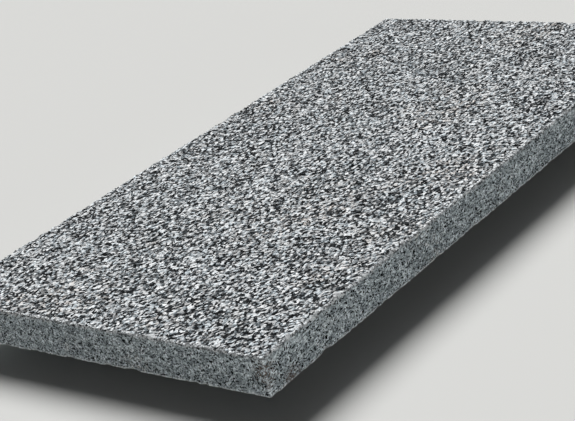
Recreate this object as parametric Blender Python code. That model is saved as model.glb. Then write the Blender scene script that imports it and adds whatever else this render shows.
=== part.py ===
"""Granite slab: the heavy stone block that leather is tooled and punched on.

One solid piece of stone, lying flat with its rough face up. Metres, +Z up.
The origin is the middle of the underside, and the long side runs along Y.
"""

import bpy
import bmesh
from mathutils import Matrix, Vector

# Sawn size of the slab
LENGTH = 0.600
WIDTH = 0.300
THICKNESS = 0.030

# Broken edges: a rubbed round on the upright corners, narrow flats on the others
CORNER_ROUND = 0.0020
CORNER_STEPS = 3
TOP_ARRIS = 0.0015
BOTTOM_ARRIS = 0.0010

# Spalls knocked off the edges. Length is measured along the edge, and depth
# inwards from the line where the two faces would meet.
CORNER_SPALL_LENGTH = 0.012
CORNER_SPALL_DEPTH = 0.0032
EDGE_SPALL_LENGTH = 0.018
EDGE_SPALL_DEPTH = 0.0030
NICK_LENGTH = 0.009
NICK_DEPTH = 0.0024

# Where the spalls lie, measured from the near end (-Y) or the right side (+X)
LOWER_SPALL_FROM_END = 0.062
NICK_FROM_END = 0.159
FRONT_SPALL_FROM_SIDE = 0.118
FAR_SPALL_FROM_SIDE = 0.022

# Finish of the stone as one even colour
STONE_COLOUR = (0.235, 0.250, 0.260, 1.0)
STONE_ROUGHNESS = 0.85


def clear_scene():
    """Remove every object that is already in the scene."""
    for old in list(bpy.data.objects):
        bpy.data.objects.remove(old, do_unlink=True)


def stone_material():
    """Dull light-grey stone."""
    material = bpy.data.materials.new("granite")
    material.use_nodes = True
    shader = material.node_tree.nodes["Principled BSDF"]
    shader.inputs["Base Color"].default_value = STONE_COLOUR
    shader.inputs["Roughness"].default_value = STONE_ROUGHNESS
    shader.inputs["Metallic"].default_value = 0.0
    material.diffuse_color = STONE_COLOUR
    return material


def edges_where(bm, test):
    """Edges of the mesh whose two ends both pass the test."""
    return [edge for edge in bm.edges if all(test(vert.co) for vert in edge.verts)]


def upright_edges(bm):
    """The four edges that run from the underside to the top face."""
    found = []
    for edge in bm.edges:
        low, high = sorted(vert.co.z for vert in edge.verts)
        if high - low > THICKNESS / 2:
            found.append(edge)
    return found


def slab_mesh():
    """Sawn block with its corners rounded and its top and bottom edges broken."""
    bm = bmesh.new()
    bmesh.ops.create_cube(bm, size=1.0)
    size = Matrix.Diagonal((WIDTH, LENGTH, THICKNESS, 1.0))
    bmesh.ops.transform(bm, matrix=size, verts=bm.verts)
    bmesh.ops.translate(bm, vec=(0.0, 0.0, THICKNESS / 2), verts=bm.verts)
    bmesh.ops.bevel(
        bm,
        geom=upright_edges(bm),
        offset=CORNER_ROUND,
        offset_type="OFFSET",
        segments=CORNER_STEPS,
        profile=0.5,
        affect="EDGES",
    )
    middle = THICKNESS / 2
    top_loop = edges_where(bm, lambda place: place.z > middle)
    bmesh.ops.bevel(bm, geom=top_loop, offset=TOP_ARRIS, segments=1, affect="EDGES")
    near_base = BOTTOM_ARRIS / 2
    bottom_loop = edges_where(bm, lambda place: place.z < near_base)
    bmesh.ops.bevel(bm, geom=bottom_loop, offset=BOTTOM_ARRIS, segments=1, affect="EDGES")
    bmesh.ops.recalc_face_normals(bm, faces=bm.faces)
    mesh = bpy.data.meshes.new("granite_slab")
    bm.to_mesh(mesh)
    bm.free()
    return mesh


def spall_cutter(name, edge_point, outward, length, depth):
    """Ball that scoops a shell-shaped spall out of an edge or a corner."""
    radius = (length ** 2 / 4 + depth ** 2) / (2 * depth)
    centre = edge_point + outward.normalized() * (radius - depth)
    bm = bmesh.new()
    bmesh.ops.create_icosphere(bm, subdivisions=3, radius=radius)
    mesh = bpy.data.meshes.new(name)
    bm.to_mesh(mesh)
    bm.free()
    cutter = bpy.data.objects.new(name, mesh)
    cutter.location = centre
    cutter.hide_render = True
    cutter.display_type = "WIRE"
    bpy.context.collection.objects.link(cutter)
    return cutter


def spall_cutters():
    """The spalls on this slab, each on the edge or corner that it was knocked off."""
    side = WIDTH / 2
    end = LENGTH / 2
    top = THICKNESS
    return [
        spall_cutter(
            "near_corner_spall",
            Vector((side, -end, 0.0)),
            Vector((1.0, -1.0, -1.0)),
            CORNER_SPALL_LENGTH,
            CORNER_SPALL_DEPTH,
        ),
        spall_cutter(
            "lower_side_spall",
            Vector((side, LOWER_SPALL_FROM_END - end, 0.0)),
            Vector((1.0, 0.0, -1.0)),
            EDGE_SPALL_LENGTH,
            EDGE_SPALL_DEPTH,
        ),
        spall_cutter(
            "top_side_nick",
            Vector((side, NICK_FROM_END - end, top)),
            Vector((1.0, 0.0, 1.0)),
            NICK_LENGTH,
            NICK_DEPTH,
        ),
        spall_cutter(
            "lower_front_spall",
            Vector((side - FRONT_SPALL_FROM_SIDE, -end, 0.0)),
            Vector((0.0, -1.0, -1.0)),
            EDGE_SPALL_LENGTH,
            EDGE_SPALL_DEPTH,
        ),
        spall_cutter(
            "far_end_spall",
            Vector((side - FAR_SPALL_FROM_SIDE, end, top)),
            Vector((0.0, 1.0, 1.0)),
            EDGE_SPALL_LENGTH,
            EDGE_SPALL_DEPTH,
        ),
    ]


def build_slab():
    """The slab, with every spall cut out of it."""
    slab = bpy.data.objects.new("granite_slab", slab_mesh())
    bpy.context.collection.objects.link(slab)
    slab.data.materials.append(stone_material())
    for cutter in spall_cutters():
        cut = slab.modifiers.new(cutter.name, "BOOLEAN")
        cut.operation = "DIFFERENCE"
        cut.solver = "EXACT"
        cut.object = cutter
    return slab


def main():
    clear_scene()
    build_slab()


main()
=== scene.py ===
# %% [markdown]
# # A granite slab with a flamed top
#
# This lesson builds the slab that leather is tooled and punched on: one piece of light grey
# granite, 600 by 300 by 30 millimetres. Its top was burnt with a flame, which makes the crystals
# pop and leaves a rough, bright face. Its sides were sawn and are smooth and darker. Its edges
# were broken by handling. The sizes come from the CAD model, which stays hidden underneath.

# %% Load the frame
import math

import bpy
import numpy as np
from mathutils import Matrix, Vector


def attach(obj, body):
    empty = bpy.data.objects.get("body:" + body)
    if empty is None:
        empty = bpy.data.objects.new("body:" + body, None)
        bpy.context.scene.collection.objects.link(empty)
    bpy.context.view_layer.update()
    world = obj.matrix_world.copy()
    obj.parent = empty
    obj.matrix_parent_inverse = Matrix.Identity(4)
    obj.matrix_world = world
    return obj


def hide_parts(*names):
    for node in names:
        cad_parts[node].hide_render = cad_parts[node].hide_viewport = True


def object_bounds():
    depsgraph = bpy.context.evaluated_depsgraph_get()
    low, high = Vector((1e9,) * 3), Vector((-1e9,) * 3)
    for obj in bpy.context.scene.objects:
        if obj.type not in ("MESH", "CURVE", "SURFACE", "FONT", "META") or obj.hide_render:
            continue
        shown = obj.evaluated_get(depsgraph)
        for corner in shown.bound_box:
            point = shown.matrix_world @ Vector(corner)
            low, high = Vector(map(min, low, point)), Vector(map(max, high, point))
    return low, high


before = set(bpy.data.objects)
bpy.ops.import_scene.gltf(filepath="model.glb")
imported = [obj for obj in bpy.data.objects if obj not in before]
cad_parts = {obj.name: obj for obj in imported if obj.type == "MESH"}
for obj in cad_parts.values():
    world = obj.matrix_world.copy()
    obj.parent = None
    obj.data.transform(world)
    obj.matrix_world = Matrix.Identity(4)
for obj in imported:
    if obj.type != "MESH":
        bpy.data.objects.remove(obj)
cad_low, cad_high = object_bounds()

MM = 0.001
width = cad_high.x - cad_low.x
length = cad_high.y - cad_low.y
thickness = cad_high.z - cad_low.z
top = cad_high.z
print(f"slab: {width / MM:.0f} x {length / MM:.0f} x {thickness / MM:.0f} mm, top at {top / MM:.0f} mm")

# %% [markdown]
# ## The blank
#
# A real slab is cut from a block with a saw, so its faces start flat and its edges sharp. It
# could be a scaled cube, but a cube has no vertices to shape a rough face with. A grid works
# better: it gives the top face a vertex for about every crystal, and its border can be extruded
# down the sides, ring by ring, and in under the slab. The rings lie close together at the two
# edges, where the chips will be, and wide apart on the sides, which stay smooth.

# %% Grid for the top face
TOP_STEP = 1.75 * MM
TOP_ARRIS = 0.9 * MM
BOTTOM_ARRIS = 1.0 * MM


def deselect_all():
    """Leave object mode with nothing selected."""
    if bpy.context.object and bpy.context.object.mode != "OBJECT":
        bpy.ops.object.mode_set(mode="OBJECT")
    bpy.ops.object.select_all(action="DESELECT")


deselect_all()
grid_x = width - 2 * TOP_ARRIS
grid_y = length - 2 * TOP_ARRIS
bpy.ops.mesh.primitive_grid_add(
    x_subdivisions=round(grid_x / TOP_STEP),
    y_subdivisions=round(grid_y / TOP_STEP),
    size=1.0,
    location=(0.0, 0.0, top),
)
slab = bpy.context.object
slab.name = "granite_stone"
slab.data.name = "granite_stone"
slab.scale = (grid_x, grid_y, 1.0)
bpy.ops.object.transform_apply(location=True, rotation=True, scale=True)
print("top grid:", len(slab.data.vertices), "vertices")

# %% Rings down the sides and in under the slab
SIDE_RINGS = 11
SIDE_CROWDING = 0.75
UNDERSIDE_RINGS = (1.0 * MM, 3.0 * MM)


def side_profile():
    """Inset from the sawn side and height of each ring, from the top edge to the underside."""
    rings = []
    for turn in (30, 60, 90):
        angle = math.radians(turn)
        rings.append((TOP_ARRIS * (1 - math.sin(angle)), top - TOP_ARRIS * (1 - math.cos(angle))))
    side_top = top - TOP_ARRIS
    side_bottom = BOTTOM_ARRIS
    middle = (side_top + side_bottom) / 2
    half = (side_top - side_bottom) / 2
    for step in range(1, SIDE_RINGS + 1):
        even = 1 - 2 * step / SIDE_RINGS
        crowded = math.sin(even * math.pi / 2)
        place = even + (crowded - even) * SIDE_CROWDING
        rings.append((0.0, middle + half * place))
    for turn in (45, 90):
        angle = math.radians(turn)
        rings.append((BOTTOM_ARRIS * (1 - math.cos(angle)), BOTTOM_ARRIS * (1 - math.sin(angle))))
    rings += [(BOTTOM_ARRIS + inset, 0.0) for inset in UNDERSIDE_RINGS]
    return rings


def extrude_ring(inset, height, before):
    """Extrude the selected border to a new inset and height. `before` is where it is now."""
    old_inset, old_height = before
    wider = (width / 2 - inset) / (width / 2 - old_inset)
    longer = (length / 2 - inset) / (length / 2 - old_inset)
    bpy.ops.mesh.extrude_edges_move(TRANSFORM_OT_translate={"value": (0.0, 0.0, height - old_height)})
    if abs(inset - old_inset) > 1e-7:
        bpy.ops.transform.resize(value=(wider, longer, 1.0), center_override=(0.0, 0.0, height))


bpy.ops.object.mode_set(mode="EDIT")
bpy.ops.mesh.select_mode(type="EDGE")
bpy.ops.mesh.select_all(action="SELECT")
bpy.ops.mesh.region_to_loop()
bpy.ops.mesh.subdivide(number_cuts=1)
bpy.ops.mesh.select_all(action="SELECT")
bpy.ops.mesh.region_to_loop()
now = (TOP_ARRIS, top)
for ring in side_profile():
    extrude_ring(ring[0], ring[1], now)
    now = ring
bpy.ops.mesh.edge_face_add()
bpy.ops.mesh.select_all(action="SELECT")
bpy.ops.mesh.normals_make_consistent(inside=False)
bpy.ops.object.mode_set(mode="OBJECT")
print("blank:", len(slab.data.vertices), "vertices,", len(slab.data.polygons), "faces")

# %% [markdown]
# ## Upright corners
#
# The four upright corners of the slab are rubbed to a small round. A bevel would make long thin
# faces across the fine rings. Here every vertex in the last millimetre of a corner is slid from
# its place in a square to the same place in a quarter disc instead, so no face is added.

# %% Round the corners
CORNER_ROUND = 1.0 * MM


def read_points(mesh):
    """Vertex places as an array, one row each."""
    flat = np.empty(len(mesh.vertices) * 3)
    mesh.vertices.foreach_get("co", flat)
    return flat.reshape(-1, 3)


def write_points(mesh, points):
    """Put an array of places back on the mesh."""
    mesh.vertices.foreach_set("co", points.reshape(-1))
    mesh.update()


points = read_points(slab.data)
sign = np.where(points[:, :2] < 0, -1.0, 1.0)
start = np.array([width / 2, length / 2]) - CORNER_ROUND
square = (np.abs(points[:, :2]) - start) / CORNER_ROUND
in_corner = (square > 0).all(axis=1)
across, along = square[in_corner].T
disc = np.stack([across * np.sqrt(1 - along**2 / 2), along * np.sqrt(1 - across**2 / 2)], axis=1)
points[in_corner, :2] = sign[in_corner] * (start + disc * CORNER_ROUND)
write_points(slab.data, points)
print("corner vertices slid:", int(in_corner.sum()))

# %% [markdown]
# ## A flat layout for export
#
# The material itself needs no UV map, but a game or a web page does, and gets its colours baked
# into one. An automatic unwrap would cut the rough face to shreds, so the layout is made now,
# while every face is still flat: the top takes half the square, the four sides are strips beside
# it, and the underside, which is seldom seen, is at half scale.

# %% Lay the faces out
UV_GAP = 0.006
UV_SCALE = (1 - 2 * UV_GAP) / length
TOP_ROW = width * UV_SCALE + 2 * UV_GAP
STRIP = thickness * UV_SCALE + UV_GAP
SHEETS = (
    # way it looks, way that u runs, way that v runs, scale, place of its middle
    ((0, 0, 1), (0, 1, 0), (-1, 0, 0), 1.0, (0.5, TOP_ROW / 2)),
    ((1, 0, 0), (0, 1, 0), (0, 0, 1), 1.0, (0.5, TOP_ROW + STRIP * 0.5)),
    ((-1, 0, 0), (0, -1, 0), (0, 0, 1), 1.0, (0.5, TOP_ROW + STRIP * 1.5)),
    ((0, 1, 0), (-1, 0, 0), (0, 0, 1), 1.0, (0.25, TOP_ROW + STRIP * 2.5)),
    ((0, -1, 0), (1, 0, 0), (0, 0, 1), 1.0, (0.25, TOP_ROW + STRIP * 3.5)),
    ((0, 0, -1), (0, 1, 0), (1, 0, 0), 0.5, (0.75, TOP_ROW * 1.25 + STRIP * 2)),
)


def lay_out(mesh):
    """Put each face on the sheet that looks its way."""
    looks = np.array([face.normal for face in mesh.polygons])
    corners = np.array([face.loop_total for face in mesh.polygons])
    sheet = np.argmax(looks @ np.array([way for way, *_ in SHEETS], dtype=float).T, axis=1)
    sheet = np.repeat(sheet, corners)
    vertices = np.array([loop.vertex_index for loop in mesh.loops])
    local = read_points(mesh)[vertices] - np.array([0.0, 0.0, thickness / 2])
    places = np.zeros((len(vertices), 2))
    for number, (_, along_u, along_v, scale, middle) in enumerate(SHEETS):
        flat = local @ np.array([along_u, along_v], dtype=float).T
        here = sheet == number
        places[here] = (flat * UV_SCALE * scale + middle)[here]
    return places


layout = slab.data.uv_layers.new(name="OFBake")
places = lay_out(slab.data)
layout.data.foreach_set("uv", places.reshape(-1))
print("layout reaches", places.min(axis=0).round(3), "to", places.max(axis=0).round(3))

# %% [markdown]
# ## Flamed relief
#
# The flame throws flakes off the top face. What is left has pits three or four crystals wide, a
# fine grit on top of them, and slow waves as wide as a hand. Sculpting that by hand would take
# days, so each of the three is a Displace modifier with a procedural texture. They only push
# down, so the highest peaks stay at the sawn height. Two more slide the vertices sideways, which
# hides the rows of the grid. A vertex group keeps the relief to the top face.

# %% Vertex group for the flamed face
FLAMED_FROM = 1.3 * MM
FLAMED_FADE = 1.2 * MM

points = read_points(slab.data)
flamed = np.clip((points[:, 2] - (top - FLAMED_FROM)) / FLAMED_FADE, 0, 1)
flamed_group = slab.vertex_groups.new(name="flamed")
for level in np.unique(np.round(flamed, 2)):
    chosen = np.flatnonzero(np.round(flamed, 2) == level)
    flamed_group.add(chosen.tolist(), float(level), "REPLACE")
print("flamed vertices:", int((flamed > 0.5).sum()))


# %% Displace with textures
WAVE_SIZE, WAVE_DEPTH = 55 * MM, 0.5 * MM
PIT_SIZE, PIT_DEPTH = 4.6 * MM, 0.9 * MM
GRIT_SIZE, GRIT_DEPTH = 2.6 * MM, 1.0 * MM
SLIP_SIZE, SLIP = 3.4 * MM, 0.6 * MM


def relief_texture(name, kind, size, contrast):
    """Procedural texture for a Displace modifier."""
    texture = bpy.data.textures.new(name, kind)
    texture.noise_scale = size
    texture.contrast = contrast
    return texture


def push(name, texture, depth, direction="Z", middle=1.0):
    """Displace the flamed face by a texture and apply it."""
    displace = slab.modifiers.new(name, "DISPLACE")
    displace.texture = texture
    displace.texture_coords = "LOCAL"
    displace.direction = direction
    displace.mid_level = middle
    displace.strength = depth
    displace.vertex_group = "flamed"
    bpy.ops.object.modifier_apply(modifier=name)


waves = relief_texture("slow_waves", "CLOUDS", WAVE_SIZE, contrast=1.5)
push("waves", waves, WAVE_DEPTH)

pits = relief_texture("crystal_pits", "VORONOI", PIT_SIZE, contrast=1.2)
pits.distance_metric = "DISTANCE"
pits.weight_1 = 1.0
push("pits", pits, PIT_DEPTH)

grit = relief_texture("grit", "CLOUDS", GRIT_SIZE, contrast=2.6)
grit.noise_depth = 1
push("grit", grit, GRIT_DEPTH)

side_slip = relief_texture("side_slip", "CLOUDS", SLIP_SIZE, contrast=2.0)
push("slip_x", side_slip, SLIP, direction="X", middle=0.5)
side_slip.noise_basis = "IMPROVED_PERLIN"
push("slip_y", side_slip, SLIP, direction="Y", middle=0.5)
print("relief pushed into", len(slab.data.vertices), "vertices")

# %% Lift the peaks back to the sawn height
PEAK_PERCENT = 97

points = read_points(slab.data)
half_size = np.array([width / 2, length / 2])
points[flamed > 0.5, 2] += top - np.percentile(points[flamed > 0.9, 2], PEAK_PERCENT)
points[:, :2] = np.clip(points[:, :2], -half_size, half_size)
points[:, 2] = np.minimum(points[:, 2], top)
write_points(slab.data, points)
below = top - points[flamed > 0.9, 2]
print(f"relief: mean {below.mean() / MM:.2f} mm below the peaks, spread {below.std() / MM:.2f} mm")

# %% [markdown]
# ## Chipped edges
#
# A knock on a granite edge takes off a shell-shaped flake, and along a sawn edge there are
# hundreds of small ones. Each could be cut with a Boolean, but hundreds of cuts on this mesh
# would be slow and leave slivers. A flake is nearly part of a ball, so each vertex that lies
# inside the ball is pushed out to the ball's skin, into the stone. How deep the stone was
# broken is kept as an attribute, because a fresh break is paler than a sawn face.

# %% Scoop a flake out of the stone
rng = np.random.default_rng(14)
broken = np.zeros(len(points))


def scoop(edge_point, outward, flake_length, depth):
    """Push the vertices out of a ball that bites `depth` deep into the edge."""
    radius = (flake_length**2 / 4 + depth**2) / (2 * depth)
    outward = outward / np.linalg.norm(outward)
    centre = edge_point + outward * (radius - depth)
    away = points - centre
    distance = np.linalg.norm(away, axis=1)
    inside = np.flatnonzero((distance < radius) & (distance > 1e-6))
    gap = radius - distance[inside]
    broken[inside] = np.maximum(broken[inside], gap)
    points[inside] = centre + away[inside] * (radius / distance[inside])[:, None]


print("ready to chip", len(points), "vertices")

# %% Small flakes along the edges
TOP_FLAKES = 1200
TOP_FLAKE_LENGTH, TOP_FLAKE_DEPTH = 3.8 * MM, 0.8 * MM
LOWER_FLAKES = 1300
LOWER_FLAKE_LENGTH, LOWER_FLAKE_DEPTH = 3.4 * MM, 0.7 * MM
SIZE_SPREAD, SMALLEST, LARGEST = 0.5, 0.35, 3.2
LEAST_LEAN, MOST_LEAN = 20, 70
SIDE_WANDER = 0.12
MOST_DEPTH_FOR_LENGTH = 0.3


def edge_place(run, height):
    """Point on the slab's outline and its outward direction. `run` goes round from 0 to 1."""
    corner_x, corner_y = width / 2, length / 2
    run = (run % 1.0) * 2 * (width + length)
    if run < length:
        return np.array([corner_x, run - corner_y, height]), np.array([1.0, 0.0, 0.0])
    run -= length
    if run < width:
        return np.array([corner_x - run, corner_y, height]), np.array([0.0, 1.0, 0.0])
    run -= width
    if run < length:
        return np.array([-corner_x, corner_y - run, height]), np.array([-1.0, 0.0, 0.0])
    run -= length
    return np.array([run - corner_x, -corner_y, height]), np.array([0.0, -1.0, 0.0])


def chip_edge(count, height, upward, usual_length, usual_depth):
    """Knock `count` small flakes off one edge, all the way round the slab."""
    for _ in range(count):
        place, side = edge_place(rng.random(), height)
        size = np.clip(rng.lognormal(0.0, SIZE_SPREAD), SMALLEST, LARGEST)
        lean = math.radians(rng.uniform(LEAST_LEAN, MOST_LEAN))
        outward = side * math.cos(lean) + np.array([0.0, 0.0, upward]) * math.sin(lean)
        outward += rng.normal(0.0, SIDE_WANDER, 3)
        flake_length = usual_length * size
        depth = usual_depth * (0.5 + 0.5 * size) * rng.uniform(0.7, 1.3)
        scoop(place, outward, flake_length, min(depth, MOST_DEPTH_FOR_LENGTH * flake_length))


chip_edge(TOP_FLAKES, top, 1.0, TOP_FLAKE_LENGTH, TOP_FLAKE_DEPTH)
chip_edge(LOWER_FLAKES, 0.0, -1.0, LOWER_FLAKE_LENGTH, LOWER_FLAKE_DEPTH)
print("vertices on breaks:", int((broken > 0.02 * MM).sum()))

# %% [markdown]
# The largest flakes are the ones that a buyer would notice: one off the lowest near corner, two
# off the lower edges, a nick in the long top edge and one at the far end. They sit where the
# CAD model has them. The upright corners were knocked too, up and down their height.

# %% Named breaks and upright corners
right = width / 2
near_end = -length / 2
NAMED_BREAKS = (
    # place on the edge, way it faces, length, depth
    ((right, near_end, 0.0), (1.0, -1.0, -1.0), 6 * MM, 1.4 * MM),
    ((right, near_end + 62 * MM, 0.0), (1.0, 0.0, -1.0), 18 * MM, 2.4 * MM),
    ((right, near_end + 159 * MM, top), (1.0, 0.0, 0.8), 7 * MM, 2.2 * MM),
    ((right - 118 * MM, near_end, 0.0), (0.0, -1.0, -1.0), 18 * MM, 2.0 * MM),
    ((right - 22 * MM, -near_end, top), (0.0, 1.0, 1.0), 16 * MM, 2.8 * MM),
)
KNOCKS_PER_CORNER = 7
KNOCK_LENGTHS_MM = (4, 8)
KNOCK_DEPTHS_MM = (0.7, 1.4)
KNOCK_WANDER = 0.25

for place, outward, flake_length, depth in NAMED_BREAKS:
    scoop(np.array(place), np.array(outward), flake_length, depth)

for corner_x in (-right, right):
    for corner_y in (near_end, -near_end):
        for _ in range(KNOCKS_PER_CORNER):
            place = np.array([corner_x, corner_y, rng.uniform(0.0, top)])
            outward = np.array([math.copysign(1.0, corner_x), math.copysign(1.0, corner_y), 0.0])
            outward += rng.normal(0.0, KNOCK_WANDER, 3)
            knock_length = rng.uniform(*KNOCK_LENGTHS_MM) * MM
            scoop(place, outward, knock_length, rng.uniform(*KNOCK_DEPTHS_MM) * MM)

points[:, :2] = np.clip(points[:, :2], -half_size, half_size)
points[:, 2] = np.clip(points[:, 2], 0.0, top)
write_points(slab.data, points)
print("deepest break:", round(broken.max() / MM, 2), "mm")

# %% [markdown]
# ## What the material needs to know
#
# The material has to tell the flamed face from the sawn ones, the breaks from both, the pits from
# the peaks, and the pale rim along each edge from the rest; that rim is partly bruised stone and
# partly a painted highlight. All are facts about the shape, so they are stored on the mesh as
# attributes. The flame licks a little way over the edge, so the flamed look reaches further down
# than the relief. Water sits longest in a knocked corner, so two spots near the knocked one are
# marked for rust.

# %% Attributes for the material
RIM_WIDTH = 2.4 * MM
UPRIGHT_RIM_SHARE = 0.5
EDGE_BURN = 2.8 * MM
PIT_REACH = 1.6 * MM
FULL_BREAK = 0.5 * MM
RUST_CORE = 0.6
RUST_SPOTS = (
    # place, reach
    ((right, near_end, 17 * MM), 8 * MM),
    ((right, near_end + 24 * MM, 2 * MM), 7 * MM),
)


def store(name, values):
    """Keep one number for each vertex, for the material to read."""
    attribute = slab.data.attributes.new(name, "FLOAT", "POINT")
    attribute.data.foreach_set("value", values.astype(np.float32))


inset = half_size - np.abs(points[:, :2])
drop = np.minimum(top - points[:, 2], points[:, 2])
rim_upright = 1 - np.clip(inset.max(axis=1) / RIM_WIDTH, 0, 1)
rim_lying = 1 - np.clip(np.maximum(inset.min(axis=1), drop) / RIM_WIDTH, 0, 1)
rust = np.zeros(len(points))
for place, reach in RUST_SPOTS:
    distance = np.linalg.norm(points - np.array(place), axis=1)
    rust = np.maximum(rust, np.clip(1 + RUST_CORE - distance / reach, 0, 1))

burnt = np.clip((points[:, 2] - (top - EDGE_BURN)) / (EDGE_BURN / 2), 0, 1)
flamed_look = np.maximum(flamed, burnt)

slab.vertex_groups.clear()
store("flamed", flamed_look)
store("broken", np.clip(broken / FULL_BREAK, 0, 1))
store("pit", np.clip((top - points[:, 2]) / PIT_REACH, 0, 1) * flamed_look)
# The rim band feeds the pale edge colour: partly bruised stone, partly a painted highlight.
store("rim", np.maximum(rim_lying, UPRIGHT_RIM_SHARE * rim_upright))
store("rust", rust)

deselect_all()
slab.select_set(True)
bpy.context.view_layer.objects.active = slab
bpy.ops.object.shade_smooth()
print("attributes:", [a.name for a in slab.data.attributes if not a.is_internal])

# %% [markdown]
# ## Granite
#
# Granite is a mosaic of crystals: white feldspar, grey quartz and black mica. A Voronoi texture
# makes such a mosaic, if its coordinates are shaken a little so that the seams aren't straight.
# It reads Object coordinates, which are metres on this slab, so the pattern runs through the stone
# and round its edges without a seam. The mosaic is a node group with named inputs, so it is
# built once and placed three times with its own values.
#
# ### Node helpers
#
# Nodes could be wired up by hand in the shader editor. In code that takes many lines, so a few
# short functions add a node, set it and join its sockets. Each gives back the socket that the
# next step needs, so a recipe reads from top to bottom.

# %% Helpers: add, join and group nodes
def new_group(name, inputs, outputs):
    """Empty shader node group with named sockets."""
    tree = bpy.data.node_groups.new(name, "ShaderNodeTree")
    for label, kind, value in inputs:
        socket = tree.interface.new_socket(label, in_out="INPUT", socket_type=kind)
        if value is not None:
            socket.default_value = value
    for label, kind in outputs:
        tree.interface.new_socket(label, in_out="OUTPUT", socket_type=kind)
    return tree, tree.nodes.new("NodeGroupInput"), tree.nodes.new("NodeGroupOutput")


def add_node(tree, kind, **settings):
    """New node with its settings."""
    node = tree.nodes.new(kind)
    for name, value in settings.items():
        setattr(node, name, value)
    return node


def join(tree, source, target):
    """Link a socket, or put a plain value on it."""
    if isinstance(source, bpy.types.NodeSocket):
        tree.links.new(source, target)
    elif source is not None:
        target.default_value = source


def use_group(tree, group, **values):
    """Place a node group; underscores in the names stand for spaces."""
    node = add_node(tree, "ShaderNodeGroup", node_tree=group)
    for name, value in values.items():
        join(tree, value, node.inputs[name.replace("_", " ")])
    return node


print("helpers: new_group, add_node, join, use_group")


# %% Helpers: maths
def maths(tree, operation, first, second, clamp=False):
    """Math node; gives its output."""
    node = add_node(tree, "ShaderNodeMath", operation=operation, use_clamp=clamp)
    join(tree, first, node.inputs[0])
    join(tree, second, node.inputs[1])
    return node.outputs[0]


def vector_maths(tree, operation, first, second=None, scale=None):
    """Vector Math node; gives its vector output."""
    node = add_node(tree, "ShaderNodeVectorMath", operation=operation)
    join(tree, first, node.inputs[0])
    if operation == "SCALE":
        join(tree, scale, node.inputs["Scale"])
    else:
        join(tree, second, node.inputs[1])
    return node.outputs["Vector"]


print("helpers: maths, vector_maths")


# %% Helpers: colours, ranges and noise
def blend_colour(tree, factor, first, second, mode="MIX"):
    """Mix node for colours; gives its colour output."""
    node = add_node(tree, "ShaderNodeMix", data_type="RGBA", blend_type=mode)
    join(tree, factor, node.inputs["Factor"])
    join(tree, first, node.inputs["A"])
    join(tree, second, node.inputs["B"])
    return node.outputs["Result"]


def between(tree, value, low, high, new_low=0.0, new_high=1.0, smooth=True):
    """Map Range node, clamped; gives its output."""
    node = add_node(tree, "ShaderNodeMapRange")
    node.interpolation_type = "SMOOTHSTEP" if smooth else "LINEAR"
    join(tree, value, node.inputs["Value"])
    join(tree, low, node.inputs["From Min"])
    join(tree, high, node.inputs["From Max"])
    join(tree, new_low, node.inputs["To Min"])
    join(tree, new_high, node.inputs["To Max"])
    return node.outputs["Result"]


def noise(tree, vector, per_metre, detail=2.0, rough=0.5, output="Fac"):
    """Noise texture with a scale in features per metre."""
    node = add_node(tree, "ShaderNodeTexNoise")
    join(tree, vector, node.inputs["Vector"])
    join(tree, per_metre, node.inputs["Scale"])
    node.inputs["Detail"].default_value = detail
    node.inputs["Roughness"].default_value = rough
    return node.outputs[output]


print("helpers: blend_colour, between, noise")

# %% [markdown]
# ### Crystal mosaic
#
# This group gives each crystal two random numbers and a direction. Kind chooses its mineral, and
# Shade makes two crystals of one mineral differ. Facet is the way that the broken crystal leans.

# %% Group: crystal mosaic
SEAM_WOBBLES_PER_METRE = 420.0
MIDDLE = (0.5, 0.5, 0.5)


def crystal_mosaic():
    """Node group: a mosaic of crystals with ragged seams."""
    tree, given, result = new_group(
        "Crystal mosaic",
        [
            ("Vector", "NodeSocketVector", None),
            ("Crystals per metre", "NodeSocketFloat", 500.0),
            ("Shake", "NodeSocketFloat", 0.0012),
            ("Seed", "NodeSocketVector", (0.0, 0.0, 0.0)),
        ],
        [
            ("Kind", "NodeSocketFloat"),
            ("Shade", "NodeSocketFloat"),
            ("Facet", "NodeSocketVector"),
        ],
    )
    wobble = noise(
        tree, given.outputs["Vector"], SEAM_WOBBLES_PER_METRE, detail=3.0, rough=0.65, output="Color"
    )
    wobble = vector_maths(tree, "SUBTRACT", wobble, MIDDLE)
    wobble = vector_maths(tree, "SCALE", wobble, scale=given.outputs["Shake"])
    place = vector_maths(tree, "ADD", given.outputs["Vector"], wobble)
    place = vector_maths(tree, "ADD", place, given.outputs["Seed"])
    cells = add_node(tree, "ShaderNodeTexVoronoi", feature="F1")
    join(tree, place, cells.inputs["Vector"])
    join(tree, given.outputs["Crystals per metre"], cells.inputs["Scale"])
    parts = add_node(tree, "ShaderNodeSeparateColor")
    join(tree, cells.outputs["Color"], parts.inputs["Color"])
    join(tree, parts.outputs["Red"], result.inputs["Kind"])
    join(tree, parts.outputs["Green"], result.inputs["Shade"])
    lean = vector_maths(tree, "SUBTRACT", cells.outputs["Color"], MIDDLE)
    join(tree, lean, result.inputs["Facet"])
    return tree


mosaic_group = crystal_mosaic()
print("group:", mosaic_group.name)

# %% [markdown]
# ### The granite material
#
# Three mosaics make the stone: crystals about a millimetre and a half wide, small ones half that
# size, and loose flecks of black mica. The flamed finish and the sawn finish use the same mosaics
# with their own mineral colours, and the flamed attribute chooses between them. Granite also has
# a rift, the way that it splits best, and its crystals are a little longer that way. A Mapping
# node turns the pattern to the rift and stretches it.

# %% The stone's own direction
RIFT_TURN = math.radians(-19.0)
RIFT_STRETCH = 1.6

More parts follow.
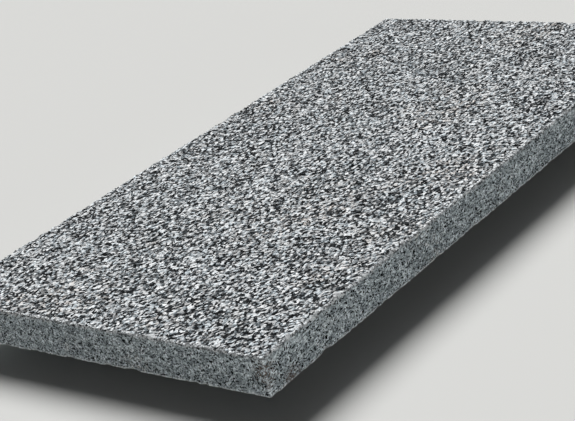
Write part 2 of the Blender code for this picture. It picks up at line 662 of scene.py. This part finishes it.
granite = bpy.data.materials.new("granite")
granite.use_nodes = True
stone = granite.node_tree
shader = stone.nodes["Principled BSDF"]
rift = add_node(stone, "ShaderNodeMapping", vector_type="TEXTURE")
rift.inputs["Rotation"].default_value = (0.0, 0.0, RIFT_TURN)
rift.inputs["Scale"].default_value = (1.0, RIFT_STRETCH, 1.0)
join(stone, add_node(stone, "ShaderNodeTexCoord").outputs["Object"], rift.inputs["Vector"])
coordinates = rift.outputs["Vector"]
print("rift turned by", round(math.degrees(RIFT_TURN)), "degrees, stretch", RIFT_STRETCH)

# %% Mosaics and facts about the shape
CRYSTALS_PER_METRE = 740.0
SMALL_PER_METRE = 1400.0
FLECKS_PER_METRE = 1180.0
GRAINS_PER_METRE = 2000.0
CRYSTAL_SHAKE = 1.2 * MM
SMALL_SHAKE = 0.7 * MM
FLECK_SHAKE = 0.8 * MM
SMALL_SEED = (3.1, 1.7, 0.4)
FLECK_SEED = (7.3, 5.2, 2.6)


def shape_fact(name):
    """Number stored on the mesh."""
    return add_node(stone, "ShaderNodeAttribute", attribute_name=name).outputs["Fac"]


def crystals(per_metre, shake, seed=(0.0, 0.0, 0.0)):
    """One mosaic of the stone."""
    return use_group(
        stone, mosaic_group, Vector=coordinates, Crystals_per_metre=per_metre, Shake=shake, Seed=seed
    )


large = crystals(CRYSTALS_PER_METRE, CRYSTAL_SHAKE)
small = crystals(SMALL_PER_METRE, SMALL_SHAKE, SMALL_SEED)
flecks = crystals(FLECKS_PER_METRE, FLECK_SHAKE, FLECK_SEED)
grains = noise(stone, coordinates, GRAINS_PER_METRE, detail=2.0, rough=0.6)
flamed_fact = shape_fact("flamed")
broken_fact = shape_fact("broken")
print("crystals per metre:", CRYSTALS_PER_METRE, SMALL_PER_METRE, FLECKS_PER_METRE)


# %% Colour ramp for minerals
def mineral_ramp(level, stops):
    """Colour ramp from the darkest mineral to the palest; gives its colour."""
    node = add_node(stone, "ShaderNodeValToRGB")
    ramp = node.color_ramp
    while len(ramp.elements) < len(stops):
        ramp.elements.new(0.5)
    for element, (place, colour) in zip(ramp.elements, stops):
        element.position = place
        element.color = (*colour, 1.0)
    join(stone, level, node.inputs["Fac"])
    return node.outputs["Color"]


def mix_values(share, first, second):
    """Mix node for numbers; gives its output."""
    node = add_node(stone, "ShaderNodeMix", data_type="FLOAT")
    join(stone, share, node.inputs["Factor"])
    join(stone, first, node.inputs["A"])
    join(stone, second, node.inputs["B"])
    return node.outputs["Result"]


print("ramp and mix ready")

# %% [markdown]
# ### Flamed finish
#
# On a flamed face every crystal shows its own fresh colour, from black mica through grey quartz
# to white feldspar, with few tones between. One ramp holds all three; its darkest steps are partly
# black mica and partly painted shade for the crevices between crystals. Dirt gathers in the pits
# and shade falls in them, so a pit is painted a little further down the ramp than a peak: partly
# dirt, partly painted shade.

# %% Flamed finish
# The darkest steps are partly black mica and partly painted shade of the crevices.
FLAMED_STOPS = (
    (0.29, (0.004, 0.005, 0.006)),
    (0.385, (0.036, 0.044, 0.050)),
    (0.46, (0.25, 0.285, 0.31)),
    (0.55, (0.66, 0.73, 0.77)),
    (0.65, (0.97, 0.99, 1.00)),
)
PEAK_SHIFT, PIT_SHIFT = 0.08, -0.12
GRAIN_SHIFT = 0.04
SMALL_IN_FLAMED = 0.12

# Dirt and painted shade: a pit goes down the ramp, a peak a little up it.
pit_dirt_and_shade = between(stone, shape_fact("pit"), 0.1, 0.9, PEAK_SHIFT, PIT_SHIFT, smooth=False)
grain_lift = between(stone, grains, 0.3, 0.7, -GRAIN_SHIFT, GRAIN_SHIFT, smooth=False)
flamed_level = mix_values(SMALL_IN_FLAMED, large.outputs["Kind"], small.outputs["Kind"])
flamed_level = maths(stone, "ADD", flamed_level, pit_dirt_and_shade)
flamed_level = maths(stone, "ADD", flamed_level, grain_lift, clamp=True)
flamed_colour = mineral_ramp(flamed_level, FLAMED_STOPS)
print("flamed finish:", len(FLAMED_STOPS), "steps from mica to feldspar")

# %% [markdown]
# ### Sawn finish
#
# The saw leaves a film of stone dust that greys the crystals, so their tones lie closer together
# and drift in patches a few millimetres wide. The mica stays black and shows as sharp flecks.

# %% Sawn finish
SAWN_STOPS = (
    (0.20, (0.170, 0.198, 0.212)),
    (0.45, (0.360, 0.412, 0.438)),
    (0.64, (0.520, 0.590, 0.620)),
    (0.84, (0.870, 0.940, 0.970)),
)
SAWN_MICA = (0.006, 0.007, 0.008, 1.0)
MICA_FROM, MICA_FULL = 0.24, 0.22
MOTTLES_PER_METRE = 210.0
MOTTLE_SHIFT = 0.16
SMALL_IN_SAWN = 0.55

mottle = noise(stone, coordinates, MOTTLES_PER_METRE, detail=3.0, rough=0.6)
mottle = between(stone, mottle, 0.3, 0.7, -MOTTLE_SHIFT, MOTTLE_SHIFT)
sawn_level = mix_values(SMALL_IN_SAWN, large.outputs["Shade"], small.outputs["Shade"])
sawn_level = maths(stone, "ADD", sawn_level, mottle)
sawn_colour = mineral_ramp(sawn_level, SAWN_STOPS)
fleck_mask = between(stone, flecks.outputs["Kind"], MICA_FROM, MICA_FULL)
sawn_colour = blend_colour(stone, fleck_mask, sawn_colour, SAWN_MICA)
body_colour = blend_colour(stone, flamed_fact, sawn_colour, flamed_colour)
print("sawn finish:", len(SAWN_STOPS), "steps and mica flecks")

# %% [markdown]
# ### Breaks, rims and stains
#
# A fresh break is full of tiny cracks, which scatter the light, so it is paler. The rim along
# every edge is paler too, with gaps where the edge is whole: partly bruised stone, and partly a
# painted highlight for the light that catches the edges. Iron in the stone has rusted into brown
# specks near the knocked corner, and here and there into a faint warm tint.

# %% Breaks, rims and stains
BREAK_PALE = (0.80, 0.85, 0.87, 1.0)
# Pale rim colour: partly bruised stone, partly a painted highlight on the edges.
RIM_PALE_AND_HIGHLIGHT = (0.94, 0.98, 1.00, 1.0)
RUST_BROWN = (0.115, 0.082, 0.066, 1.0)
WARM_TINT = (0.82, 0.66, 0.54, 1.0)
# patches per metre, noise where a patch begins, noise where it is full, strength
BREAK_PATCHES = (800.0, 0.42, 0.60, 0.45)
RIM_HIGHLIGHT_PATCHES = (760.0, 0.43, 0.53, 0.8)
RUST_PATCHES = (620.0, 0.48, 0.55, 0.9)
TINT_REGIONS = (16.0, 0.55, 0.72, 1.0)
TINT_PATCHES = (330.0, 0.45, 0.68, 0.5)


def patches(per_metre, low, high, strength):
    """Mask of soft patches from a noise."""
    return between(stone, noise(stone, coordinates, per_metre), low, high, 0.0, strength)


break_mask = maths(stone, "MULTIPLY", broken_fact, patches(*BREAK_PATCHES))
# Painted highlight, partly bruised stone: a pale band along every edge, with gaps.
rim_bruise_and_highlight_mask = between(stone, shape_fact("rim"), 0.10, 0.50)
rim_bruise_and_highlight_mask = maths(stone, "MULTIPLY", rim_bruise_and_highlight_mask, patches(*RIM_HIGHLIGHT_PATCHES))
rust_mask = maths(stone, "MULTIPLY", shape_fact("rust"), patches(*RUST_PATCHES))
warm_mask = maths(stone, "MULTIPLY", patches(*TINT_REGIONS), patches(*TINT_PATCHES))
colour = blend_colour(stone, break_mask, body_colour, BREAK_PALE)
colour = blend_colour(stone, rim_bruise_and_highlight_mask, colour, RIM_PALE_AND_HIGHLIGHT)
colour = blend_colour(stone, rust_mask, colour, RUST_BROWN)
colour = blend_colour(stone, warm_mask, colour, WARM_TINT, mode="MULTIPLY")
join(stone, colour, shader.inputs["Base Color"])
print("breaks, rims, rust and tint")

# %% [markdown]
# ### Facets, fine relief and gloss
#
# Each broken crystal leans its own way and catches or loses the light as a whole. That is finer
# than the mesh, so Facet is added to the normal: strongly on the flamed face, hardly at all on
# the sawn ones. A Bump node then steps the crystals up and down and roughens them. Stone is dull,
# and only its smallest crystals glint a little.

# %% Facets
SAWN_LEAN = 0.10
FLAMED_LEAN = 2.0

lean = between(stone, flamed_fact, 0.0, 1.0, SAWN_LEAN, FLAMED_LEAN)
facets = vector_maths(stone, "SCALE", large.outputs["Facet"], scale=lean)
facets = vector_maths(stone, "ADD", facets, add_node(stone, "ShaderNodeNewGeometry").outputs["Normal"])
facets = vector_maths(stone, "NORMALIZE", facets)
print("facets lean by", SAWN_LEAN, "sawn and", FLAMED_LEAN, "flamed")

# %% Fine relief and gloss
BUMP_HEIGHT = 0.35 * MM
BUMP_STRENGTH = 0.8
SAWN_GRAIN = 0.10
FLAMED_GRAIN = 0.5
SMOOTHEST, ROUGHEST = 0.62, 0.92
GLINT = 0.06

sawn_height = maths(stone, "MULTIPLY", grains, SAWN_GRAIN)
flamed_height = maths(stone, "ADD", flamed_level, maths(stone, "MULTIPLY", grains, FLAMED_GRAIN))
rough_part = maths(stone, "MAXIMUM", flamed_fact, broken_fact)
bump = add_node(stone, "ShaderNodeBump")
bump.inputs["Distance"].default_value = BUMP_HEIGHT
bump.inputs["Strength"].default_value = BUMP_STRENGTH
join(stone, mix_values(rough_part, sawn_height, flamed_height), bump.inputs["Height"])
join(stone, facets, bump.inputs["Normal"])
join(stone, bump.outputs["Normal"], shader.inputs["Normal"])

roughness = between(stone, small.outputs["Kind"], 0.0, 1.0, SMOOTHEST, ROUGHEST, smooth=False)
join(stone, roughness, shader.inputs["Roughness"])
shader.inputs["Specular IOR Level"].default_value = GLINT
print("material nodes:", len(stone.nodes))

# %% [markdown]
# ### On the slab
#
# The CAD slab keeps its place for weight and collision, but it is plain. The modelled stone
# stands for it in every picture and moves with the same body.

# %% Put the stone on the slab
slab.data.materials.clear()
slab.data.materials.append(granite)
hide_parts("granite_slab")
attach(slab, "root")
print("triangles:", sum(face.loop_total - 2 for face in slab.data.polygons))

# %% [markdown]
# ## Studio
#
# The slab lies on a low riser on a pale seamless floor, so that its lower edge stands clear of
# its own soft shadow. The riser is smaller than the slab and stays out of sight from above.

# %% Floor and riser
RISER_HEIGHT = 20 * MM
RISER_INSET = 48 * MM
RISER_GAP = 0.5 * MM
RISER_BEVEL = 1.5 * MM
FLOOR_SIZE = 14.0
PAPER_COLOUR = (0.58, 0.58, 0.565, 1.0)

deselect_all()
bpy.ops.mesh.primitive_plane_add(size=FLOOR_SIZE, location=(0.0, 0.0, -RISER_HEIGHT))
floor = bpy.context.object
floor.name = "studio_floor"
bpy.ops.mesh.primitive_cube_add(size=1.0, location=(0.0, 0.0, -(RISER_HEIGHT + RISER_GAP) / 2))
riser = bpy.context.object
riser.name = "studio_riser"
riser.scale = (width - 2 * RISER_INSET, length - 2 * RISER_INSET, RISER_HEIGHT - RISER_GAP)
bpy.ops.object.transform_apply(location=True, rotation=True, scale=True)
bpy.ops.object.mode_set(mode="EDIT")
bpy.ops.mesh.select_all(action="SELECT")
bpy.ops.mesh.bevel(offset=RISER_BEVEL, segments=3)
bpy.ops.object.mode_set(mode="OBJECT")

paper = bpy.data.materials.new("studio_paper")
paper.use_nodes = True
paper_shader = paper.node_tree.nodes["Principled BSDF"]
paper_shader.inputs["Base Color"].default_value = PAPER_COLOUR
paper_shader.inputs["Roughness"].default_value = 0.9
paper_shader.inputs["Specular IOR Level"].default_value = 0.1
for piece in (floor, riser):
    piece.data.materials.append(paper)
print("floor and riser ready")

# %% [markdown]
# ## Light
#
# Relief shows best when the main light comes from behind and from one side. A window does that in
# a workshop. An area light would fade across the floor, so a Sun with a wide angle is used: it
# is even everywhere and its shadows are soft. A weak light low on the right opens the two dark
# sides, and the air is pale to look at but gives almost no light.

# %% Lights
KEY_FROM = (-2.00, 1.50, 3.20)
KEY_ANGLE = math.radians(32.0)
KEY_ENERGY = 4.5
FILL_PLACE = (3.35, -1.15, 0.40)
FILL_SIZE = 0.9
FILL_ENERGY = 15.5
AIR_COLOUR = (0.97, 0.985, 1.0, 1.0)
AIR_LIGHT = 0.05
AIR_SEEN = 0.60


def face_along(light, direction):
    """Turn a light so that it shines along a direction."""
    light.rotation_euler = Vector(direction).to_track_quat("-Z", "Y").to_euler()


deselect_all()
bpy.ops.object.light_add(type="SUN", location=KEY_FROM)
key = bpy.context.object
key.name = "key_light"
key.data.angle = KEY_ANGLE
key.data.energy = KEY_ENERGY
face_along(key, [-value for value in KEY_FROM])

bpy.ops.object.light_add(type="AREA", location=FILL_PLACE)
fill = bpy.context.object
fill.name = "side_fill"
fill.data.size = FILL_SIZE
fill.data.energy = FILL_ENERGY
face_along(fill, [-value for value in FILL_PLACE])

# %% Pale air
world = bpy.data.worlds.new("studio_air")
bpy.context.scene.world = world
world.use_nodes = True
sky = world.node_tree
air = sky.nodes["Background"]
air.inputs["Color"].default_value = AIR_COLOUR
camera_ray = add_node(sky, "ShaderNodeLightPath").outputs["Is Camera Ray"]
seen = maths(sky, "MULTIPLY", camera_ray, AIR_SEEN)
join(sky, maths(sky, "ADD", seen, AIR_LIGHT), air.inputs["Strength"])
bpy.context.scene.view_settings.view_transform = "Standard"
print("air:", AIR_LIGHT, "as light,", AIR_SEEN, "more to look at")

# %% [markdown]
# ## Camera
#
# The camera looks down at the near corner from the right, with a long lens and a slight turn
# about its own axis, so that the slab's long side climbs towards the upper right.

# %% Camera
CAMERA_PLACE = (0.775, -0.967, 0.500)
CAMERA_AZIMUTH = math.radians(41.0)
CAMERA_ELEVATION = math.radians(22.5)
CAMERA_ROLL = math.radians(-12.0)
LENS = 104.4
SENSOR_WIDTH = 36.0

camera_data = bpy.data.cameras.new("camera")
camera_data.sensor_width = SENSOR_WIDTH
camera_data.lens = LENS
camera = bpy.data.objects.new("camera", camera_data)
bpy.context.collection.objects.link(camera)
turn = Matrix.Rotation(CAMERA_AZIMUTH, 4, "Z")
tilt = Matrix.Rotation(math.pi / 2 - CAMERA_ELEVATION, 4, "X")
roll = Matrix.Rotation(CAMERA_ROLL, 4, "Z")
camera.matrix_world = Matrix.Translation(CAMERA_PLACE) @ turn @ tilt @ roll
bpy.context.scene.camera = camera
print("camera at", CAMERA_PLACE)
